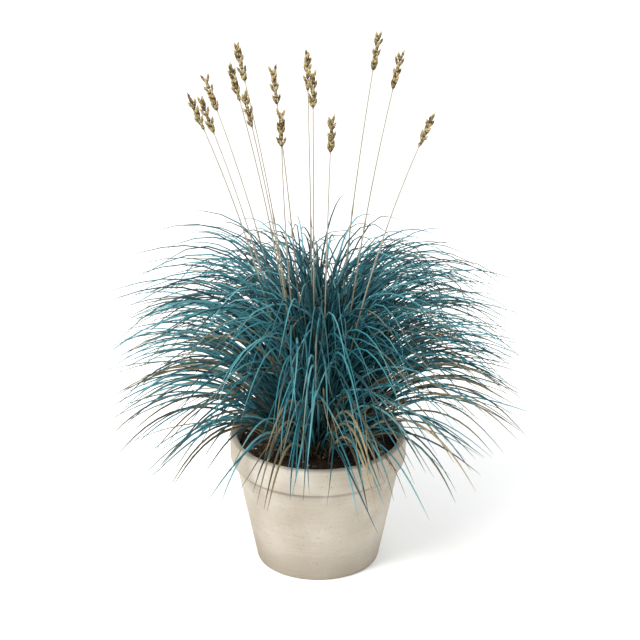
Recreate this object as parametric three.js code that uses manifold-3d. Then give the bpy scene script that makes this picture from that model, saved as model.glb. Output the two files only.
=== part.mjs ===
// Potted blue fescue: a clump of fine arching grass blades with flower stalks, growing in a plain clay pot.
// Millimetres, +Z up. The origin is the middle of the pot's flat underside, and -Y is the front.
//
// The clump is twelve tufts, each in its own sector round the crown, with a heart tuft on the axis.
// The thin upright slots between the sectors hold the dead, straw-coloured blades and the flower stalks,
// so that no blade of one piece runs through another piece.
import * as THREE from 'three';
import { mergeVertices } from 'three/addons/utils/BufferGeometryUtils.js';
import Module from 'manifold-3d';

const wasm = await Module();
wasm.setup();

// The pot.
const POT_HEIGHT = 132;
const POT_FOOT_RADIUS = 60;
const POT_RIM_RADIUS = 86;
const POT_BAND_HEIGHT = 27;
const POT_BAND_STEP = 4;
const POT_WALL = 7;
const POT_FLOOR = 8;
const POT_EDGE = 1.5;
const POT_SIDES = 28;
const DRAIN_RADIUS = 5;
const DRAIN_CIRCLE_RADIUS = 34;
const DRAIN_COUNT = 4;
const DRAIN_SIDES = 8;

// The soil, with the round well that the crown of the clump stands in.
const SOIL_BELOW_RIM = 11;
const SOIL_CROWNING = 3;
const WELL_RADIUS = 47;
const WELL_DEPTH = 8;
const SEAT_GAP = 0.3;

// The clump's sectors and the slots between them.
const TUFT_COUNT = 12;
const SECTOR = (2 * Math.PI) / TUFT_COUNT;
const SLOT_HALF_WIDTH = 1.7;
const CROWN_RADIUS = 46;

// A blade: a keeled strip that tapers to a point. Its rings crowd a little towards the tip.
const BLADE_WIDTH = 2.8;
const BLADE_THICKNESS = 1.1;
const BLADE_THINNEST = 0.6;
const BLADE_SEGMENTS = 4;
const BLADE_TAPER = 2.5;
const RING_CROWDING = 0.8;
const ROOT_HEIGHT = 1.5;

// The habit of the blue blades, each pair from the middle of the clump to its edge. A lean is an angle
// from upright in degrees, and a larger lateness makes a blade arch over higher up.
const BLADES_IN_TUFT = 21;
const PLACE_STEP = 8;
const ROOT_RADIUS = [14, 40];
const ROOT_LEAN = [7, 42];
const TIP_LEAN = [121, 122];
const LATENESS = [4.9, 2];
const LENGTH = [322, 186];
const LENGTH_FALL = 0.75;

// How far single blades stray from that habit.
const ROOT_LEAN_STRAY = 4;
const TIP_LEAN_STRAY = 14;
const DRIFT_STRAY = 0.25;
const LENGTH_STRAY = [0.84, 1.03];

// The crowded sheaths at the foot of a tuft.
const FOOT_FROM = 9.5;
const FOOT_TOP_INNER = 15;
const FOOT_TOP_OUTER = 6;

// The heart tuft, whose tips curl over above the rest.
const HEART_BLADES = 8;
const HEART_RADIUS = 7.5;
const HEART_ROOT_RADIUS = 4;
const HEART_ROOT_LEAN = [1, 4];
const HEART_TIP_LEAN = [118, 165];
const HEART_LATENESS = 14;
const HEART_LENGTH = [235, 290];

// The dead blades in each slot, each pair from the inmost blade to the outmost.
const DEAD_BLADES_IN_SPRAY = 5;
const DEAD_FOOT_FROM = 25.5;
const DEAD_FOOT_THICKNESS = 2.4;
const DEAD_ROOT_RADIUS = [28.5, 40];
const DEAD_ROOT_LEAN = [22, 50];
const DEAD_TIP_LEAN = [122, 136];
const DEAD_TIP_STRAY = 10;
const DEAD_LATENESS = 3;
const DEAD_LENGTH = [245, 182];
const DEAD_LENGTH_STRAY = [0.82, 1.04];

// A flower stalk and the head of spikelets on it.
const STALK_ROOT_RADIUS = 0.85;
const STALK_TOP_RADIUS = 0.6;
const STALK_SEGMENTS = 4;
const STALK_SIDES = 4;
const STALK_RISE_SHARE = 0.52;
const STALK_REACH_SHARE = 0.3;
const HEAD_LENGTH = 41;
const HEAD_AXIS_RADIUS = [1.1, 0.8];
const HEAD_TIERS = 6;
const HEAD_TURN_PER_TIER = 72;
const SPIKELET_LENGTH = 12;
const SPIKELET_RADIUS = 2.1;
const SPIKELET_FLATNESS = 0.75;
const SPIKELET_WIDEST_AT = 0.42;
const SPIKELET_LEAN = 23;
const SPIKELET_OFF_AXIS = 0.2;

// Each flower stalk: the slot it grows in, where it roots, and the height and distance from the axis
// of its head's foot, measured from the soil. Slot 0 is half a sector round from +X. A stalk with a
// larger share of its reach halfway up leans out early and stands straighter above.
const STALKS = [
  { slot: 6, root: 19, reach: 108, height: 331 },
  { slot: 5, root: 19, reach: 101, height: 308 },
  { slot: 4, root: 19, reach: 137, height: 305 },
  { slot: 6, root: 13, reach: 74, height: 356 },
  { slot: 5, root: 13, reach: 70, height: 362 },
  { slot: 7, root: 19, reach: 84, height: 345 },
  { slot: 4, root: 13, reach: 54, height: 332 },
  { slot: 7, root: 13, reach: 47, height: 316, reachShare: 0.85 },
  { slot: 3, root: 15, reach: 36, height: 347 },
  { slot: 8, root: 14, reach: 17, height: 348 },
  { slot: 9, root: 16, reach: 44, height: 314 },
  { slot: 1, root: 17, reach: 73, height: 361 },
  { slot: 11, root: 17, reach: 71, height: 367 },
  { slot: 10, root: 18, reach: 128, height: 338 },
];

// Finishes.
const clay = new THREE.MeshStandardMaterial({ color: 0xb3aca0, roughness: 0.85 });
const soilBrown = new THREE.MeshStandardMaterial({ color: 0x3a2c22, roughness: 1 });
const blueLeaf = new THREE.MeshStandardMaterial({ color: 0x2b7288, roughness: 0.55 });
const deadLeaf = new THREE.MeshStandardMaterial({ color: 0x9a8058, roughness: 0.8 });
const straw = new THREE.MeshStandardMaterial({ color: 0xb6a184, roughness: 0.7 });
const husk = new THREE.MeshStandardMaterial({ color: 0xa98c4e, roughness: 0.75 });

const degrees = THREE.MathUtils.degToRad;
const mix = THREE.MathUtils.lerp;
const between = ([from, to], share) => mix(from, to, share);
const soilTop = POT_HEIGHT - SOIL_BELOW_RIM + SOIL_CROWNING;

// A source of numbers from 0 to 1 that look random and are the same ones on every run.
function drawsFrom(seed) {
  const MODULUS = 2 ** 31 - 1;
  const FACTOR = 16807;
  const SEED_FACTOR = 48271;
  let state = seed * SEED_FACTOR;
  return () => {
    state = (state * FACTOR) % MODULUS;
    return state / MODULUS;
  };
}

// A closed three.js geometry as a solid, its shared vertices merged.
function solid(geometry) {
  const bare = geometry.index ? geometry.toNonIndexed() : geometry.clone();
  bare.deleteAttribute('normal');
  bare.deleteAttribute('uv');
  const merged = mergeVertices(bare, 1e-4);
  return new wasm.Manifold(
    new wasm.Mesh({
      numProp: 3,
      vertProperties: merged.attributes.position.array,
      triVerts: new Uint32Array(merged.index.array),
    }),
  );
}

// The solid's surface as a three.js geometry.
function surface(made) {
  const mesh = made.getMesh();
  const geometry = new THREE.BufferGeometry();
  geometry.setAttribute('position', new THREE.BufferAttribute(new Float32Array(mesh.vertProperties), 3));
  geometry.setIndex(new THREE.BufferAttribute(new Uint32Array(mesh.triVerts), 1));
  return geometry;
}

const fuse = (solids) => solids.reduce((all, one) => all.add(one));

// Bends an upright unit cone or cylinder, from y -0.5 to 0.5, along a line of points.
// Its x becomes the line's side and its z the line's underside, each times a half size at that height.
function bendAlong(geometry, line, side, halfWidth, halfDepth) {
  const position = geometry.attributes.position;
  const last = line.length - 1;
  for (let v = 0; v < position.count; v++) {
    const share = position.getY(v) + 0.5;
    const at = Math.round(share * last);
    const along = line[Math.min(at + 1, last)].clone().sub(line[Math.max(at - 1, 0)]).normalize();
    const under = side.clone().cross(along).normalize();
    const radius = Math.hypot(position.getX(v), position.getZ(v));
    const point = line[at].clone();
    if (radius > 1e-6) {
      point.addScaledVector(side, (position.getX(v) / radius) * halfWidth(share));
      point.addScaledVector(under, (position.getZ(v) / radius) * halfDepth(share));
    }
    position.setXYZ(v, point.x, point.y, point.z);
  }
  return geometry;
}

// How far along a blade a ring lies, from the ring's share of all rings.
const alongBlade = (ringShare) => ringShare ** RING_CROWDING;

// How much of its whole bend a blade has made, at a share of its length. It stands fairly straight
// near the root, arches over in the middle, and hangs fairly straight near the tip.
const bendAt = (share, lateness) => (1 - (1 - share) ** 2) ** lateness;

// The middle line of a blade that rises from its root, arches over and droops under its own weight.
// place puts it across its sector: 0 runs along the middle, and -1 and 1 along the sides.
function bladeLine({ azimuth, root, rootLean, tipLean, lateness, length, place = 0, drift = 0 }) {
  const STEPS = 8;
  const upright = new THREE.Vector3(0, 0, 1);
  const out = new THREE.Vector2(root, soilTop + ROOT_HEIGHT);
  const keepClear = (SLOT_HALF_WIDTH + BLADE_WIDTH / 2) / Math.cos(SECTOR / 2);
  const line = [];
  for (let ring = 0; ring <= BLADE_SEGMENTS; ring++) {
    const s = alongBlade(ring / BLADE_SEGMENTS);
    const room = Math.max(0, out.x * Math.tan(SECTOR / 2) - keepClear);
    const across = THREE.MathUtils.clamp(place + drift * s, -1, 1) * room;
    line.push(new THREE.Vector3(out.x, across, out.y).applyAxisAngle(upright, azimuth));
    const stride = (alongBlade((ring + 1) / BLADE_SEGMENTS) - s) / STEPS;
    for (let step = 0; step < STEPS; step++) {
      const angle = degrees(mix(rootLean, tipLean, bendAt(s + (step + 0.5) * stride, lateness)));
      out.x += Math.sin(angle) * length * stride;
      out.y += Math.cos(angle) * length * stride;
    }
  }
  return line;
}

// One blade: a three-sided cone bent along its line, flat above and keeled below.
function blade(options) {
  const widestOnCone = Math.sin(degrees(120));
  const deepestOnCone = 1 + Math.cos(degrees(60));
  const side = new THREE.Vector3(-Math.sin(options.azimuth), Math.cos(options.azimuth), 0);
  const fullness = (ringShare) => 1 - alongBlade(ringShare) ** BLADE_TAPER;
  return solid(
    bendAlong(
      new THREE.ConeGeometry(1, 1, 3, BLADE_SEGMENTS),
      bladeLine(options),
      side,
      (ringShare) => (BLADE_WIDTH * fullness(ringShare)) / 2 / widestOnCone,
      (ringShare) => Math.max(BLADE_THINNEST, BLADE_THICKNESS * fullness(ringShare)) / deepestOnCone,
    ),
  );
}

// An upright prism over a flat outline, from the well's floor to a top that slopes with the outline's x.
function footBlock(outline, topAt) {
  const shape = new THREE.Shape(outline.map(([x, y]) => new THREE.Vector2(x, y)));
  const geometry = new THREE.ExtrudeGeometry(shape, { depth: 1, bevelEnabled: false });
  const position = geometry.attributes.position;
  const low = soilTop - WELL_DEPTH + SEAT_GAP;
  for (let v = 0; v < position.count; v++) {
    position.setZ(v, position.getZ(v) > 0.5 ? soilTop + topAt(position.getX(v)) : low);
  }
  return geometry;
}

// The crowded sheaths at the foot of one tuft: a block that fills its sector of the crown.
function tuftFoot(azimuth) {
  const halfAt = (x) => x * Math.tan(SECTOR / 2) - SLOT_HALF_WIDTH / Math.cos(SECTOR / 2);
  const cornerX = CROWN_RADIUS * Math.cos(SECTOR / 2.2);
  const outline = [
    [FOOT_FROM, -halfAt(FOOT_FROM)],
    [cornerX, -halfAt(cornerX)],
    [CROWN_RADIUS, 0],
    [cornerX, halfAt(cornerX)],
    [FOOT_FROM, halfAt(FOOT_FROM)],
  ];
  const slope = (x) => mix(FOOT_TOP_INNER, FOOT_TOP_OUTER, (x - FOOT_FROM) / (CROWN_RADIUS - FOOT_FROM));
  return solid(footBlock(outline, slope).rotateZ(azimuth));
}

// One blue tuft. Its blades run from nearly upright to lying out low, and the step in place from
// each to the next spreads blades of every lean evenly across the sector.
function tuft(index) {
  const azimuth = index * SECTOR;
  const draw = drawsFrom(index + 1);
  const blades = Array.from({ length: BLADES_IN_TUFT }, (_, i) => {
    const low = (i + draw()) / BLADES_IN_TUFT;
    const place = (((i * PLACE_STEP) % BLADES_IN_TUFT) + draw()) / BLADES_IN_TUFT;
    return blade({
      azimuth,
      root: Math.sqrt(mix(ROOT_RADIUS[0] ** 2, ROOT_RADIUS[1] ** 2, low)),
      rootLean: between(ROOT_LEAN, low) + mix(-1, 1, draw()) * ROOT_LEAN_STRAY,
      tipLean: between(TIP_LEAN, low) + mix(-1, 1, draw()) * TIP_LEAN_STRAY,
      lateness: between(LATENESS, low),
      length: between(LENGTH, low ** LENGTH_FALL) * between(LENGTH_STRAY, draw()),
      place: mix(-1, 1, place),
      drift: mix(-1, 1, draw()) * DRIFT_STRAY,
    });
  });
  return fuse([tuftFoot(azimuth), ...blades]);
}

// The heart tuft: upright blades on the axis.
function heart() {
  const foot = new THREE.CylinderGeometry(HEART_RADIUS, HEART_RADIUS, 1, TUFT_COUNT).rotateX(Math.PI / 2);
  const height = WELL_DEPTH - SEAT_GAP + FOOT_TOP_INNER;
  foot.scale(1, 1, height).translate(0, 0, soilTop + FOOT_TOP_INNER - height / 2);
  const draw = drawsFrom(TUFT_COUNT + 1);
  const blades = Array.from({ length: HEART_BLADES }, (_, i) =>
    blade({
      azimuth: Math.round((i * TUFT_COUNT) / HEART_BLADES) * SECTOR,
      root: HEART_ROOT_RADIUS,
      rootLean: between(HEART_ROOT_LEAN, draw()),
      tipLean: between(HEART_TIP_LEAN, draw()),
      lateness: HEART_LATENESS,
      length: between(HEART_LENGTH, draw()),
    }),
  );
  return fuse([solid(foot), ...blades]);
}

// The dead blades of one slot: a thin foot with a fan of straw-coloured blades in the slot's plane.
function deadSpray(index) {
  const azimuth = (index + 0.5) * SECTOR;
  const half = DEAD_FOOT_THICKNESS / 2;
  const outline = [
    [DEAD_FOOT_FROM, -half],
    [CROWN_RADIUS - 1, -half],
    [CROWN_RADIUS - 1, half],
    [DEAD_FOOT_FROM, half],
  ];
  const draw = drawsFrom(TUFT_COUNT + 2 + index);
  const blades = Array.from({ length: DEAD_BLADES_IN_SPRAY }, (_, i) => {
    const low = (i + draw()) / DEAD_BLADES_IN_SPRAY;
    return blade({
      azimuth,
      root: between(DEAD_ROOT_RADIUS, low),
      rootLean: between(DEAD_ROOT_LEAN, low),
      tipLean: between(DEAD_TIP_LEAN, low) + mix(-1, 1, draw()) * DEAD_TIP_STRAY,
      lateness: DEAD_LATENESS,
      length: between(DEAD_LENGTH, low) * between(DEAD_LENGTH_STRAY, draw()),
    });
  });
  return fuse([solid(footBlock(outline, () => FOOT_TOP_OUTER).rotateZ(azimuth)), ...blades]);
}

// A flower stalk's line in its slot: it leaves the crown nearly upright and leans out more and more.
function stalkLine({ slot, root, reach, height, reachShare = STALK_REACH_SHARE }) {
  const azimuth = (slot + 0.5) * SECTOR;
  const at = (radius, z) => new THREE.Vector3(radius * Math.cos(azimuth), radius * Math.sin(azimuth), z);
  return new THREE.QuadraticBezierCurve3(
    at(root, soilTop - WELL_DEPTH + SEAT_GAP),
    at(mix(root, reach, reachShare), soilTop + height * STALK_RISE_SHARE),
    at(reach, soilTop + height),
  );
}

function stalk(options) {
  const azimuth = (options.slot + 0.5) * SECTOR;
  const side = new THREE.Vector3(-Math.sin(azimuth), Math.cos(azimuth), 0);
  const radius = (share) => mix(STALK_ROOT_RADIUS, STALK_TOP_RADIUS, share);
  return bendAlong(
    new THREE.CylinderGeometry(1, 1, 1, STALK_SIDES, STALK_SEGMENTS),
    stalkLine(options).getPoints(STALK_SEGMENTS),
    side,
    radius,
    radius,
  );
}

// A spikelet: a pointed four-sided husk that leans away from the head's axis, its root sunk in it.
function spikelet(turn, height) {
  const geometry = new THREE.OctahedronGeometry(1);
  const position = geometry.attributes.position;
  for (let v = 0; v < position.count; v++) {
    const end = Math.round(position.getY(v));
    position.setXYZ(
      v,
      position.getX(v) * SPIKELET_RADIUS,
      [0, SPIKELET_WIDEST_AT, 1][end + 1] * SPIKELET_LENGTH,
      position.getZ(v) * SPIKELET_RADIUS * SPIKELET_FLATNESS,
    );
  }
  geometry.rotateX(degrees(SPIKELET_LEAN)).translate(0, height, SPIKELET_OFF_AXIS);
  return solid(geometry.rotateY(turn));
}

// A flower head: pairs of spikelets up a short axis, each pair turned from the one below.
function head(options, index) {
  const axisLength = HEAD_LENGTH - SPIKELET_LENGTH;
  const axis = new THREE.CylinderGeometry(HEAD_AXIS_RADIUS[1], HEAD_AXIS_RADIUS[0], axisLength, 4);
  axis.translate(0, axisLength / 2, 0);
  const spikelets = [];
  for (let tier = 0; tier < HEAD_TIERS; tier++) {
    const turn = index + degrees(tier * HEAD_TURN_PER_TIER);
    const height = mix(SEAT_GAP * 2, axisLength - SEAT_GAP * 2, tier / (HEAD_TIERS - 1));
    spikelets.push(spikelet(turn, height), spikelet(turn + Math.PI, height));
  }
  const line = stalkLine(options);
  const along = line.getTangent(1);
  const stand = new THREE.Quaternion().setFromUnitVectors(new THREE.Vector3(0, 1, 0), along);
  const start = line.getPoint(1).addScaledVector(along, SEAT_GAP);
  const upright = surface(fuse([solid(axis), ...spikelets]));
  return upright.applyQuaternion(stand).translate(start.x, start.y, start.z);
}

// A closed outline of radius and height, turned round the upright axis.
function turned(points) {
  const outline = points.map(([radius, height]) => new THREE.Vector2(radius, height));
  return new THREE.LatheGeometry(outline, POT_SIDES).rotateX(Math.PI / 2);
}

// The pot's inside radius at a height, from the floor to the rim.
const potInside = (z) =>
  mix(POT_FOOT_RADIUS - POT_WALL, POT_RIM_RADIUS - POT_WALL, (z - POT_FLOOR) / (POT_HEIGHT - POT_FLOOR));

function pot() {
  const bandFoot = POT_HEIGHT - POT_BAND_HEIGHT;
  const wall = turned([
    [0, 0],
    [POT_FOOT_RADIUS - POT_EDGE, 0],
    [POT_FOOT_RADIUS, POT_EDGE],
    [POT_RIM_RADIUS - POT_BAND_STEP - POT_EDGE, bandFoot],
    [POT_RIM_RADIUS, bandFoot + 2 * POT_EDGE],
    [POT_RIM_RADIUS, POT_HEIGHT - POT_EDGE],
    [POT_RIM_RADIUS - POT_EDGE, POT_HEIGHT],
    [potInside(POT_HEIGHT) + POT_EDGE, POT_HEIGHT],
    [potInside(POT_HEIGHT - POT_EDGE), POT_HEIGHT - POT_EDGE],
    [potInside(POT_FLOOR), POT_FLOOR],
    [0, POT_FLOOR],
  ]);
  let made = solid(wall);
  for (let i = 0; i < DRAIN_COUNT; i++) {
    const angle = ((i + 0.5) / DRAIN_COUNT) * 2 * Math.PI;
    const drain = new THREE.CylinderGeometry(DRAIN_RADIUS, DRAIN_RADIUS, POT_FLOOR * 3, DRAIN_SIDES);
    drain.rotateX(Math.PI / 2);
    drain.translate(DRAIN_CIRCLE_RADIUS * Math.cos(angle), DRAIN_CIRCLE_RADIUS * Math.sin(angle), 0);
    made = made.subtract(solid(drain));
  }
  return surface(made);
}

function soil() {
  const edgeTop = soilTop - SOIL_CROWNING;
  const low = POT_FLOOR + SEAT_GAP;
  const wallGap = SEAT_GAP * 1.5;
  return turned([
    [0, low],
    [potInside(low) - wallGap, low],
    [potInside(edgeTop) - wallGap, edgeTop],
    [mix(WELL_RADIUS, potInside(edgeTop), 0.5), soilTop - SOIL_CROWNING / 4],
    [WELL_RADIUS, soilTop],
    [WELL_RADIUS, soilTop - WELL_DEPTH],
    [0, soilTop - WELL_DEPTH],
  ]);
}

const plant = new THREE.Group();

function place(name, geometry, material) {
  const mesh = new THREE.Mesh(geometry, material);
  mesh.name = name;
  plant.add(mesh);
}

const numbered = (name, index) => `${name}_${String(index + 1).padStart(2, '0')}`;

place('pot', pot(), clay);
place('soil', soil(), soilBrown);
place('heart_tuft', surface(heart()), blueLeaf);
for (let i = 0; i < TUFT_COUNT; i++) {
  place(numbered('tuft', i), surface(tuft(i)), blueLeaf);
  place(numbered('dead_spray', i), surface(deadSpray(i)), deadLeaf);
}
STALKS.forEach((options, i) => {
  place(numbered('stalk', i), stalk(options), straw);
  place(numbered('flower_head', i), head(options, i), husk);
});

export default plant;
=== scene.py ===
# %% [markdown]
# # A potted blue fescue
# Blue fescue is an ornamental grass. Hundreds of fine, stiff blades rise from one crown, arch over
# and droop, and thin flower stalks stand high above them. This lesson dresses the plain solids of
# one potted plant: clay for the pot, crumbs for the soil, and many fine blades, stalks and husks in
# the places that the solids give. Lengths are metres, +Z is up, and the front is towards -Y.

# %% The frame
from math import cos, exp, pi, radians, sin, sqrt, tau

import bmesh
import bpy
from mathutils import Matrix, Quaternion, Vector


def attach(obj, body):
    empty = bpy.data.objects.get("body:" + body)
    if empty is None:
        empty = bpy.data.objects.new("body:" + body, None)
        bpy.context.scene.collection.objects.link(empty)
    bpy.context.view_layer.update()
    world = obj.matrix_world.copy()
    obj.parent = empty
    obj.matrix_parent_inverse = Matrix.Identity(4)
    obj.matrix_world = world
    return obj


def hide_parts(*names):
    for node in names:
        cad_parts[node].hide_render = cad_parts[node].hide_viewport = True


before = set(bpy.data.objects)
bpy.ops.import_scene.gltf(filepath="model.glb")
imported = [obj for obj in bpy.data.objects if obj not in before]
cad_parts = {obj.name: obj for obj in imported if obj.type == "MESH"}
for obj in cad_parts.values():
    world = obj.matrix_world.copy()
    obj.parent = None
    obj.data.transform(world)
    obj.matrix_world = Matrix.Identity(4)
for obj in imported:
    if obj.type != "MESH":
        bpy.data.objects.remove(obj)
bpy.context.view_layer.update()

MM = 0.001

# %% [markdown]
# ## Node trees as expressions
# A material and a Geometry Nodes tree are both graphs of nodes, and long to read when written out
# node by node. So two small classes help. A Wire is one socket, and sums or products of wires add
# the Math nodes. A Graph adds every other node: its type, its settings, and its sockets' values.

# %% Wires
def operator(name):
    """An operator for wires that adds one Math node."""
    return lambda wire, value: wire.math(name, value)


class Wire:
    """One output socket of a graph, which Python's arithmetic can work on."""

    def __init__(self, graph, socket):
        self.graph = graph
        self.socket = socket

    def other(self, name):
        """Another output of the same node."""
        return Wire(self.graph, self.graph.pick(self.socket.node.outputs, name))

    def math(self, operation, *values):
        inputs = dict(enumerate((self, *values)))
        return self.graph.add("ShaderNodeMath", inputs, operation=operation)

    def __rsub__(self, value):
        return self.graph.number(value).math("SUBTRACT", self)

    __add__ = __radd__ = operator("ADD")
    __sub__ = operator("SUBTRACT")
    __mul__ = __rmul__ = operator("MULTIPLY")
    __truediv__ = operator("DIVIDE")
    __pow__ = operator("POWER")

    def held(self, low=0.0, high=1.0):
        """The value, kept between two limits."""
        return self.math("MAXIMUM", low).math("MINIMUM", high)


# %% Graphs
def opaque(colour):
    """A colour of three numbers with its alpha added. A wire stays as it is."""
    return colour if isinstance(colour, Wire) else (*colour, 1.0)


class Graph:
    """A node tree with one method that adds a node, sets it and wires it up."""

    def __init__(self, tree):
        self.tree = tree

    @staticmethod
    def pick(sockets, name):
        """A socket by its number or its name, or the first one in use."""
        if isinstance(name, int):
            return sockets[name]
        usable = [s for s in sockets if s.enabled]
        return usable[0] if name is None else next(s for s in usable if s.name == name)

    def add(self, kind, inputs=None, output=None, **settings):
        node = self.tree.nodes.new(kind)
        for name, value in settings.items():
            if name == "stops":
                self.set_stops(node.color_ramp, value)
            else:
                setattr(node, name, value)
        for name, value in (inputs or {}).items():
            socket = self.pick(node.inputs, name)
            if isinstance(value, Wire):
                self.tree.links.new(value.socket, socket)
            else:
                socket.default_value = value
        return Wire(self, self.pick(node.outputs, output)) if node.outputs else None

    @staticmethod
    def set_stops(ramp, stops):
        """Gives a colour ramp its stops: a list of a place from 0 to 1 and a colour."""
        while len(ramp.elements) > 1:
            ramp.elements.remove(ramp.elements[-1])
        for i, (place, colour) in enumerate(stops):
            element = ramp.elements[0] if i == 0 else ramp.elements.new(place)
            element.position = place
            element.color = opaque(colour)

    def number(self, value):
        wire = self.add("ShaderNodeValue")
        wire.socket.default_value = value
        return wire

    def vector(self, x, y, z):
        return self.add("ShaderNodeCombineXYZ", {"X": x, "Y": y, "Z": z})

    def mix(self, factor, first, second):
        """Blends two colours."""
        inputs = {"Factor": factor, "A": opaque(first), "B": opaque(second)}
        return self.add("ShaderNodeMix", inputs, data_type="RGBA")


# %% [markdown]
# ## Camera, light and floor
# The plant is seen from the front and a little above, as in the reference picture: far enough for a
# long lens, so that the near blades don't swell. A broad soft light stands high at the left, a
# weaker one behind at the right lights the far edges, and the pale surroundings fill the shadows.

# %% Camera
CAMERA_ELEVATION = radians(24)
CAMERA_LENS = 150
CAMERA_DISTANCE = 2.56
CAMERA_TARGET = Vector((0.002, 0, 0.252))


def placed(name, data):
    """A new object of the given data, linked into the scene."""
    made = bpy.data.objects.new(name, data)
    bpy.context.scene.collection.objects.link(made)
    return made


camera = placed("camera", bpy.data.cameras.new("camera"))
camera.data.lens = CAMERA_LENS
towards_camera = Vector((0, -cos(CAMERA_ELEVATION), sin(CAMERA_ELEVATION)))
camera.location = CAMERA_TARGET + towards_camera * CAMERA_DISTANCE
camera.rotation_euler = (-towards_camera).to_track_quat("-Z", "Y").to_euler()
bpy.context.scene.camera = camera
print("camera:", [round(x, 3) for x in camera.location])

# %% Lights
SKY_COLOUR = (1.0, 1.0, 1.0, 1.0)
SKY_STRENGTH = 0.84


def soft_light(name, place, size, power, colour):
    """A square area light that faces the middle of the plant."""
    data = bpy.data.lights.new(name, "AREA")
    data.size = size
    data.energy = power
    data.color = colour
    light = placed(name, data)
    light.location = place
    light.rotation_euler = (CAMERA_TARGET - Vector(place)).to_track_quat("-Z", "Y").to_euler()


soft_light("key_light", place=(-1.1, -1.2, 2.1), size=0.7, power=78, colour=(1.0, 0.98, 0.95))
soft_light("rim_light", place=(1.3, 1.1, 1.7), size=1.0, power=22, colour=(0.95, 0.98, 1.0))
world = bpy.data.worlds.new("studio")
world.use_nodes = True
sky = world.node_tree.nodes["Background"]
sky.inputs["Color"].default_value = SKY_COLOUR
sky.inputs["Strength"].default_value = SKY_STRENGTH
bpy.context.scene.world = world
bpy.context.scene.view_settings.view_transform = "Standard"


# %% The floor
def new_material(name, roughness, build, specular=0.5):
    """A material whose build function wires colour and bump into a Principled shader."""
    material = bpy.data.materials.new(name)
    material.use_nodes = True
    tree = material.node_tree
    tree.nodes.clear()
    graph = Graph(tree)
    inputs = {"Roughness": roughness, "Specular IOR Level": specular, **build(graph)}
    shader = graph.add("ShaderNodeBsdfPrincipled", inputs)
    graph.add("ShaderNodeOutputMaterial", {"Surface": shader})
    return material


FLOOR_COLOUR = (0.93, 0.93, 0.92)
FLOOR_HALF_SIZE = 12
FLOOR_CORNERS = ((-1, -1), (1, -1), (1, 1), (-1, 1))

floor_mesh = bpy.data.meshes.new("floor")
corners = [(x * FLOOR_HALF_SIZE, y * FLOOR_HALF_SIZE, 0) for x, y in FLOOR_CORNERS]
floor_mesh.from_pydata(corners, [], [(0, 1, 2, 3)])
floor = placed("floor", floor_mesh)
floor_finish = {"Base Color": opaque(FLOOR_COLOUR)}
floor.data.materials.append(new_material("floor", 0.9, lambda graph: floor_finish))

# %% [markdown]
# ## Growing with Geometry Nodes
# A plant is made of repeats that differ a little, and copies of one blade would all arch alike. So
# the seeds are loose points, whose attributes say how each blade grows: which way it heads, how far
# it leans, how long it is. One tree turns the points into blades. It serves the living blades, the
# dead ones and the sheaths.


# %% Sowing and growing
def sow(name, rows):
    """A mesh of loose points, one for each row of traits, with every trait as an attribute."""
    mesh = bpy.data.meshes.new(name)
    mesh.from_pydata([row.get("spot", (0, 0, 0)) for row in rows], [], [])
    for trait in (key for key in rows[0] if key != "spot"):
        attribute = mesh.attributes.new(trait, "FLOAT", "POINT")
        attribute.data.foreach_set("value", [row[trait] for row in rows])
    return mesh


def evaluated_mesh(piece):
    evaluated = piece.evaluated_get(bpy.context.evaluated_depsgraph_get())
    return bpy.data.meshes.new_from_object(evaluated)


def grow(name, mesh, tree, settings):
    """Runs a Geometry Nodes tree on a mesh and keeps the result as a plain mesh object."""
    seedbed = placed(name + "_seeds", mesh)
    modifier = seedbed.modifiers.new("grow", "NODES")
    modifier.node_group = tree
    sockets = {s.name: s.identifier for s in tree.interface.items_tree if s.in_out == "INPUT"}
    for label, value in settings.items():
        modifier[sockets[label]] = value
    grown = evaluated_mesh(seedbed)
    bpy.data.objects.remove(seedbed)
    return placed(name, grown)


def hand_over(piece, slot, *nodes):
    """A finished piece: it rides on the one body, and stands for its CAD nodes."""
    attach(piece, "root")
    if nodes:
        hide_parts(*nodes)
    piece.data.validate()


# %% The two ends of a tree
def geometry_tree(name, sockets):
    """An empty tree with a geometry input and output and the named inputs."""
    tree = bpy.data.node_groups.new(name, "GeometryNodeTree")
    tree.interface.new_socket("Geometry", in_out="OUTPUT", socket_type="NodeSocketGeometry")
    for label, kind in {"Geometry": "Geometry", **sockets}.items():
        tree.interface.new_socket(label, in_out="INPUT", socket_type="NodeSocket" + kind)
    graph = Graph(tree)
    return graph, graph.add("NodeGroupInput")


def finished_tree(graph, given, made):
    """Makes the geometry real, gives it the material and leads it to the output."""
    made = graph.add("GeometryNodeRealizeInstances", {"Geometry": made})
    inputs = {"Geometry": made, "Material": given.other("Material")}
    made = graph.add("GeometryNodeSetMaterial", inputs)
    graph.add("NodeGroupOutput", {"Geometry": made})
    return graph.tree


# %% [markdown]
# ## The blade tree
# Each seed point is copied once for every ring of its blade. A running sum over the copies adds up
# small steps, each leaning a little more than the last, and that draws the arch. The rings become a
# curve, and a folded little section is swept along it, as a fescue blade is folded along its midrib.
# The tree stores how far along and across the blade each point is, for the finish to read.

# %% Attributes in a tree
BLADE_RINGS = 14


def named(graph, name, kind="FLOAT"):
    """A named attribute inside a Geometry Nodes tree."""
    return graph.add("GeometryNodeInputNamedAttribute", {"Name": name}, data_type=kind)


def store(graph, geometry, name, value, kind="FLOAT"):
    inputs = {"Geometry": geometry, "Name": name, "Value": value}
    return graph.add("GeometryNodeStoreNamedAttribute", inputs, data_type=kind, domain="POINT")


# %% The arch of a blade
WAVE_TURN = 5.0


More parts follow.
